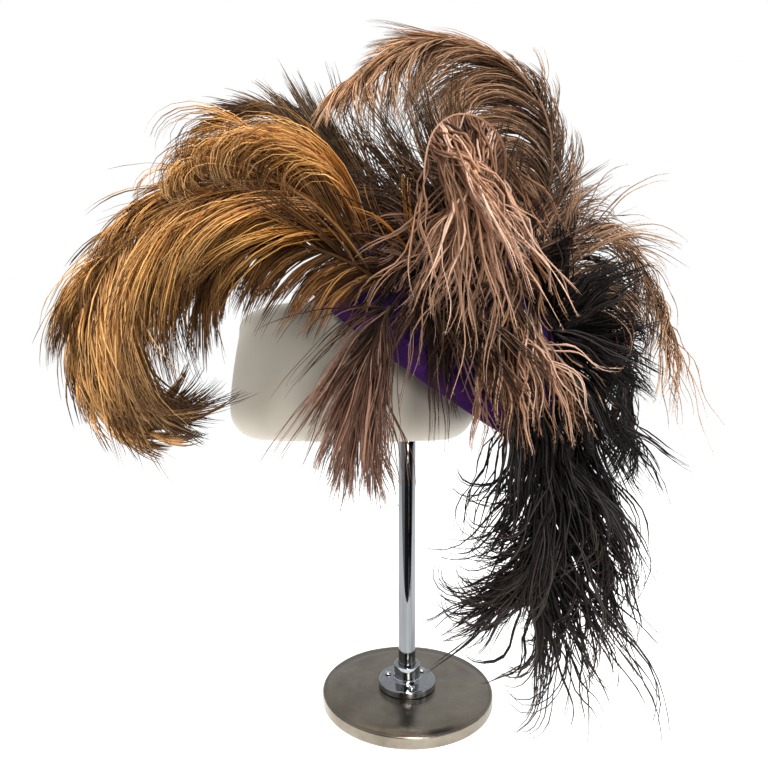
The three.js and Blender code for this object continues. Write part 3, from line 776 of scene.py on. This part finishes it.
def walked(line, row, traits):
    """Barbs grown step by step from the shaft: each leans, turns, lifts, waves, hooks and droops."""
    at = np.clip(traits["at"], 0, 1) * (len(line) - 1)
    index = np.arange(len(line))
    place = sampled(line, at, index)
    ahead = unit(sampled(unit(np.gradient(line, axis=0)), at, index))
    side = unit(np.cross(ahead, FACE)) * row["side"]
    passed = np.clip((traits["at"] - row["start"]) / (row["end"] - row["start"]), 0, 1)
    long = between(row["long"], passed) * traits["long"]
    lean = np.radians(between(row["lean"], passed) + traits["lean"])
    turn = math.radians(row["turn"]) * traits["turn"]
    places = [place]
    stops = barb_stops(row["steps"])
    for start, end in zip(stops, stops[1:]):
        s = (start + end) / 2
        angle = lean + turn * s ** row["late"] + np.radians(row["hook"]) * s ** HOOK_POWER * traits["hook"]
        angle = angle + traits["wave"] * np.sin(traits["phase"] + traits["rate"] * s)
        lift = traits["lift"] * (1 - 0.7 * s)
        lift = lift + traits["wave"] * np.cos(2 * traits["phase"] + traits["rate"] * s)
        way = np.cos(angle)[:, None] * ahead + np.sin(angle)[:, None] * side + lift[:, None] * FACE
        way = unit(unit(way) + (row["droop"] * traits["droop"] * s ** DROOP_POWER)[:, None] * DOWN)
        place = place + way * (long * (end - start))[:, None]
        places.append(place)
    return np.stack(places, 1)


def vane_barbs(line, row, dice):
    """The paths of a row's barbs, gathered in locks that close towards their tips, and each barb's place
    on the shaft and its tone."""
    def differ(spread, key, many):
        return spread[key] * dice.standard_normal(many)

    locks = max(1, round(row["count"] / row["locks"]))
    loose = row["loose"]
    stretch = row["end"] - row["start"]
    lead = dict(
        at=row["start"] + stretch * (np.arange(locks) + dice.random(locks)) / locks,
        long=1 + differ(LOCKS_DIFFER, "long", locks),
        lean=loose * differ(LOCKS_DIFFER, "lean", locks),
        turn=1 + differ(LOCKS_DIFFER, "turn", locks),
        lift=row["lift"] + differ(row, "fan", locks),
        droop=1 + differ(LOCKS_DIFFER, "droop", locks),
        hook=between(RANGES["hook"], dice.random(locks)),
        wave=row["wave"] * between(RANGES["wave"], dice.random(locks)),
        phase=dice.random(locks) * 2 * math.pi,
        rate=between(RANGES["rate"], dice.random(locks)),
    )
    leader = np.repeat(np.arange(locks), row["locks"])
    many = len(leader)
    own = {key: value[leader].copy() for key, value in lead.items()}
    own["at"] += stretch / locks * BARBS_DIFFER["at"] * (dice.random(many) - 0.5)
    own["at"] = np.clip(own["at"], row["start"], row["end"])
    own["long"] *= 1 + differ(BARBS_DIFFER, "long", many)
    own["lean"] += loose * differ(BARBS_DIFFER, "lean", many)
    own["lift"] += loose * differ(BARBS_DIFFER, "lift", many)
    own["droop"] *= 1 + differ(BARBS_DIFFER, "droop", many)
    own["phase"] += differ(BARBS_DIFFER, "phase", many)
    stray = dice.random(many) < STRAYS["share"] * loose
    own["lean"][stray] += differ(STRAYS, "lean", stray.sum())
    own["lift"][stray] += differ(STRAYS, "lift", stray.sum())
    paths = walked(line, row, own)
    leads = walked(line, row, lead)[leader]
    s = barb_stops(row["steps"])[None, :, None]
    grip = np.where(stray, 0, row["grip"] * between(RANGES["grip"], dice.random(many)))[:, None, None]
    paths = paths + (leads - paths) * np.clip(grip, 0, 0.95) * s ** 0.8
    # Painted light and shade: the row's shade, and lighter barbs where they stand out towards the front,
    # darker where they lie deeper in the plume.
    tone = 0.5 + row["shade"] + DEPTH_PAINTED_LIGHT * (own["lift"] - row["lift"]) / row["fan"]
    tone = tone + differ(LOCKS_DIFFER, "tone", locks)[leader] + differ(BARBS_DIFFER, "tone", many)
    return paths, own["at"], np.clip(tone, 0, 1)


def barb_radii(row, many, dice):
    """Half a barb's thickness at each ring: slim at its root, thinning towards its tip, and ragged."""
    s = barb_stops(row["steps"])
    swell = np.minimum(1, 0.6 + 4 * s) * (1 - 0.85 * s ** 3)
    ragged = 1 + RAGGED * dice.standard_normal((many, len(s)))
    radii = row["thick"] * swell * np.clip(ragged, 0.5, 1.7)
    radii[:, -1] = TIP_THICK
    return radii


def tubes(paths, radii, flat, look, along, passed, tone):
    """Closed tubes of few sides along paths: their points and faces, their material, and what the finish
    reads at each ring."""
    many, rings, _ = paths.shape
    ahead = unit(np.gradient(paths, axis=1))
    wide = unit(np.cross(ahead, FACE + np.array([0.03, 0.0, 0.05])))
    high = np.cross(wide, ahead) * flat
    angle = 2 * math.pi * (np.arange(TUBE_SIDES) / TUBE_SIDES + 0.25)
    spread = np.cos(angle)[:, None] * wide[:, :, None, :] + np.sin(angle)[:, None] * high[:, :, None, :]
    points = paths[:, :, None, :] + radii[:, :, None, None] * spread
    index = np.arange(many * rings * TUBE_SIDES).reshape(many, rings, TUBE_SIDES)
    here, there = index[:, :-1], index[:, 1:]
    quads = np.stack([here, there, np.roll(there, -1, 2), np.roll(here, -1, 2)], -1)
    at_rings = [np.broadcast_to(value, radii.shape).ravel() for value in (along, passed, tone)]
    along, passed, tone = (np.repeat(value, TUBE_SIDES) for value in at_rings)
    return dict(
        points=points.reshape(-1, 3), quads=quads.reshape(-1, 4), look=look, tones=tone,
        ends=np.concatenate([index[:, 0], index[:, -1, ::-1]]), places=np.stack([along, passed], 1),
    )


def fluff_of(paths, at, tone, hairs, dice):
    """Short hairs that stand off the barbs, each a slim spike of three sides."""
    many, rings, _ = paths.shape
    owner = np.repeat(np.arange(many), hairs)
    place = dice.random(len(owner)) * (rings - 1.3) + 0.2
    low = place.astype(int)
    share = (place - low)[:, None]
    root = paths[owner, low] * (1 - share) + paths[owner, low + 1] * share
    ahead = unit(paths[owner, low + 1] - paths[owner, low])
    aside = unit(np.cross(ahead, dice.standard_normal((len(owner), 3)) * np.array([0.6, 1.0, 0.6])))
    long = (HAIR.long + HAIR.more * dice.random(len(owner)))[:, None]
    tip = root + (ahead * HAIR.slant + aside * HAIR.slant) * long
    across, along = unit(np.cross(ahead, aside)) * HAIR.thick, ahead * HAIR.thick
    points = np.stack([root + across, root - across * 0.5 + along, root - across * 0.5 - along, tip], 1)
    index = np.arange(len(owner) * 4).reshape(-1, 4)
    sides = [0, 1, 3], [1, 2, 3], [2, 0, 3], [2, 1, 0]
    return dict(
        points=points.reshape(-1, 3), quads=np.zeros((0, 4), int), look=0,
        ends=np.concatenate([index[:, corners] for corners in sides]),
        places=np.stack([np.repeat(place / (rings - 1), 4), np.repeat(at[owner], 4)], 1),
        tones=np.clip(np.repeat(tone[owner], 4) + HAIR.tone, 0, 1),
    )


def added(name, data):
    piece = bpy.data.objects.new(name, data)
    bpy.context.scene.collection.objects.link(piece)
    return piece


def mesh_of(name, parts):
    """One mesh of many barbs; each part has its points, faces, map places, tones and material."""
    firsts = np.cumsum([0, *[len(part["points"]) for part in parts]])
    faces = ("quads", "ends")
    points, places, tones = (
        np.concatenate([part[key] for part in parts]) for key in ("points", "places", "tones"))
    quads, ends = (np.concatenate([part[key] + first for part, first in zip(parts, firsts)]) for key in faces)
    looks = np.concatenate([np.full(len(part[key]), part["look"]) for key in faces for part in parts])
    corners = np.concatenate([quads.ravel(), ends.ravel()])
    sizes = np.concatenate([np.full(len(quads), 4), np.full(len(ends), TUBE_SIDES)])
    mesh = bpy.data.meshes.new(name)
    mesh.vertices.add(len(points))
    mesh.vertices.foreach_set("co", (points * MM).astype(np.float32).ravel())
    mesh.loops.add(len(corners))
    mesh.loops.foreach_set("vertex_index", corners.astype(np.int32))
    mesh.polygons.add(len(sizes))
    mesh.polygons.foreach_set("loop_start", (np.cumsum(sizes) - sizes).astype(np.int32))
    mesh.polygons.foreach_set("material_index", looks.astype(np.int32))
    mesh.polygons.foreach_set("use_smooth", np.ones(len(sizes), bool))
    mesh.uv_layers.new(name="barb").data.foreach_set("uv", places[corners].astype(np.float32).ravel())
    mesh.attributes.new("tone", "FLOAT", "POINT").data.foreach_set("value", tones.astype(np.float32))
    mesh.update(calc_edges=True)
    mesh.validate()
    return added(name, mesh)


# The room that barbs may take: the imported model's box, a share of its sides and a margin, over the table
PROUD_SHARE, PROUD_MARGIN = 0.025, 8
OVER_TABLE = 12
LOW, HIGH = (np.array(corner) / MM for corner in CAD_BOX)
ROOM = (HIGH - LOW) * PROUD_SHARE + PROUD_MARGIN


def inside_room(paths):
    """Which barbs stay in their room."""
    low, high = paths.min(axis=1), paths.max(axis=1)
    fits = ((low > LOW - ROOM) & (high < HIGH + ROOM)).all(axis=1)
    return fits & (low[:, 2] > OVER_TABLE)


# How far barbs keep off the crown, and how far below its edge that still counts
CROWN_CLEAR = 3.4
CROWN_HEM = 4


def off_crown(paths):
    """Moves what would be inside the crown out to just over its velvet."""
    back, forth = np.array(CROWN_FRAME.inverted()), np.array(CROWN_FRAME)
    local = paths @ back[:3, :3].T + back[:3, 3] / MM
    long, wide, high = crown_size(CROWN_CLEAR)
    power = 2 / CROWN.fullness
    out = np.hypot(local[..., 0] / long, local[..., 1] / wide)
    up = np.maximum(local[..., 2], 0) / high
    depth = out ** power + up ** power
    inside = (depth < 1) & (local[..., 2] > -CROWN_HEM)
    scale = np.where(inside, np.maximum(depth, 1e-3) ** (-1 / power), 1.0)
    local = local * np.stack([scale, scale, np.where(local[..., 2] > 0, scale, 1.0)], -1)
    return local @ forth[:3, :3].T + forth[:3, 3] / MM


def tuft_line(row, share):
    """The short line that one finger of a tuft leaves, that share of the way from the first to the last."""
    around, up, heading = (between(row[key], share) for key in ("around", "up", "heading"))
    ahead = np.array([math.cos(math.radians(heading)), 0.0, math.sin(math.radians(heading))])
    return crown_place(around, up, 1.0) + np.linspace(0, 8, 20)[:, None] * ahead


def rows_of(plume, line):
    """The rows of a plume with the line that each leaves; a tuft becomes a fan of small rows."""
    rows = [(VANE | plume["rows"] | row, line) for row in plume["vanes"]]
    for row in plume["tufts"]:
        row = TUFT | plume["rows"] | row
        fingers = row["fingers"]
        for k in range(fingers):
            side = -1 if row["both"] and k % 2 == 0 else 1
            small = dict(row, count=row["count"] / fingers, side=side)
            rows.append((small, tuft_line(row, k / (fingers - 1))))
    return rows


def quill_tubes(line):
    """The shaft as three strands side by side that taper to its tip."""
    joints = np.vstack([line[:: len(line) // SHAFT_JOINTS], line[-1:]])
    radii = np.linspace(*SHAFT_THICK, len(joints))[None, :]
    strands = []
    for strand in range(3):
        angle = 2 * math.pi * strand / 3
        shift = 0.45 * radii[0][:, None] * np.array([math.cos(angle), 0.0, math.sin(angle)])
        strands.append(joints + shift)
    share = np.linspace(0, 1, len(joints))
    return tubes(np.stack(strands), np.repeat(radii, 3, 0) * 0.75, 1.0, 1, share, share, 0.5)


def make_plume(plume, barb_look, quill_look):
    dice = np.random.default_rng(plume["seed"])
    line = shaft_line(plume)
    parts = []
    for row, root in rows_of(plume, line):
        paths, at, tone = vane_barbs(root, row, dice)
        paths = off_crown(paths)
        keep = inside_room(paths)
        # Painted shade: a low passed, as in tufts, keeps barbs to the near colours and, below, to the darker
        # part of their root-to-tip colours.
        paths, at, tone = paths[keep], at[keep] * row["passed"], tone[keep]
        radii = barb_radii(row, len(paths), dice)
        along = barb_stops(row["steps"]) * between(ALONG, row["passed"])
        parts.append(tubes(paths, radii, FLATNESS, 0, along, at[:, None], tone[:, None]))
        if "fluff" in plume:
            parts.append(fluff_of(paths, at, tone, plume["fluff"], dice))
    piece = mesh_of(plume["name"], [*parts, quill_tubes(line)])
    settled(piece, None, plume["slot"], [barb_look, quill_look], plume["node"])


LOOKS = {slot: (barbs(slot, near, far, pale, rough), quill(slot.replace("barbs", "quill"), shaft))
         for slot, (near, far, pale, shaft, rough) in FEATHERS.items()}

chrome = polished("stand_chrome", "a6aaae")
make_base(brushed("base_steel"))
make_flange(chrome)
make_screws(polished("screw_chrome", "c4c6c8"))
make_pole(chrome)
make_top(frosted("form_frosted"))
# The crown and its band are one velvet: the crown's colours are darker than the band's as painted shade over
# the crown.
make_crown(velvet("crown_velvet", "2a104a", "46206e", "160824"), lining("crown_lining"))
make_band(velvet("band_velvet", "3c1656", "5e2a78", "260c3a"))
for plume in PLUMES:
    make_plume(plume, *LOOKS[plume["slot"]])


# Floor, light and camera

# The floor starts just in front of the stand, reaches far behind it, and lies a hair below it
FLOOR_SIZE, FLOOR_MIDDLE = 24, (0, 11.75, -0.0003)

# The room round the stand, as shares of the way round and how bright its walls are there
WALLS = [
    (0.0, 0.05), (0.085, 0.06), (0.1, 0.7), (0.2, 1.0), (0.3, 0.75), (0.45, 0.9), (0.62, 1.0), (0.74, 0.6),
    (0.86, 0.5), (0.872, 0.05), (0.925, 0.05), (0.93, 0.9), (0.942, 0.9), (0.947, 0.05), (1.0, 0.05),
]

# Lamps: place, what they point at, size, power and colour
LAMPS = {
    "key": ((0.1, -1.1, 1.65), (0, 0, 0.35), 0.5, 31, (1.0, 0.98, 0.95)),
    "fill": ((1.3, -0.9, 0.9), (0, 0, 0.3), 1.2, 4, (0.94, 0.97, 1.0)),
    "front": ((0.25, -1.4, 0.3), (0, 0, 0.3), 0.4, 6, (1.0, 0.99, 0.97)),
    "top": ((0.1, 0.5, 1.9), (0, 0, 0.3), 0.9, 10, (1.0, 1.0, 1.0)),
}

# The photo's camera: where it stands, its sensor, and in pixels the picture's width, the focal length and
# how far the horizon lies below the middle
EYE = (-0.0216, -0.467, 0.260)
SENSOR = 36
PICTURE, FOCAL, HORIZON = 768, 497, 34


def make_floor():
    bpy.ops.object.select_all(action="DESELECT")
    bpy.ops.mesh.primitive_plane_add(size=FLOOR_SIZE, location=FLOOR_MIDDLE)
    floor = bpy.context.active_object
    floor.name = "floor"
    finish = Finish("floor_paper", Emission_Color=(1, 1, 1, 1), Emission_Strength=0.8)
    cloud = finish.noise(1.2, 2, 0.5)
    finish.feed("Base Color", finish.ramp(cloud, (0.3, "f4f3f1"), (0.7, "f8f7f6")))
    finish.feed("Roughness", 0.85 + 0.05 * cloud)
    floor.data.materials.append(finish.material)


def make_world():
    """White all round for the eye; for gloss and fill, a bright room with darker walls here and there."""
    world = bpy.data.worlds.new("studio")
    bpy.context.scene.world = world
    world.use_nodes = True
    nodes = Nodes(world.node_tree)
    way = nodes.node("ShaderNodeTexCoord", output="Generated")
    turn = nodes.maths("ARCTAN2", nodes.axis(way, 0), nodes.axis(way, 1))
    share = nodes.node("ShaderNodeMapRange", {}, {0: turn, 1: -math.pi, 2: math.pi})
    walls = nodes.ramp(share, *[(at, (level * 0.97, level * 0.98, level, 1)) for at, level in WALLS])
    room = nodes.node("ShaderNodeBackground", {}, {"Color": walls, "Strength": 0.6})
    plain = nodes.node("ShaderNodeBackground", {}, {"Color": (1, 1, 1, 1)})
    eye = nodes.node("ShaderNodeLightPath", output="Is Camera Ray")
    either = nodes.node("ShaderNodeMixShader", {}, {0: eye, 1: room, 2: plain})
    output = nodes.tree.nodes.new("ShaderNodeOutputWorld")
    nodes.connect(output.inputs["Surface"], either)


def make_lamp(name, place, target, size, watts, tint):
    lamp = bpy.data.lights.new(name, "AREA")
    lamp.shape = "DISK"
    lamp.size = size
    lamp.energy = watts
    lamp.color = tint
    piece = added(name, lamp)
    piece.location = place
    piece.rotation_euler = (Vector(target) - Vector(place)).to_track_quat("-Z", "Y").to_euler()


def make_camera():
    camera = bpy.data.cameras.new("camera")
    camera.sensor_width = SENSOR
    camera.lens = SENSOR * FOCAL / PICTURE
    camera.shift_y = HORIZON / PICTURE
    camera.clip_start = 0.01
    piece = added("camera", camera)
    piece.location = EYE
    piece.rotation_euler = (math.pi / 2, 0, 0)
    bpy.context.scene.camera = piece


make_floor()
make_world()
for name, lamp in LAMPS.items():
    make_lamp(name, *lamp)
make_camera()
bpy.context.scene.view_settings.view_transform = "Standard"
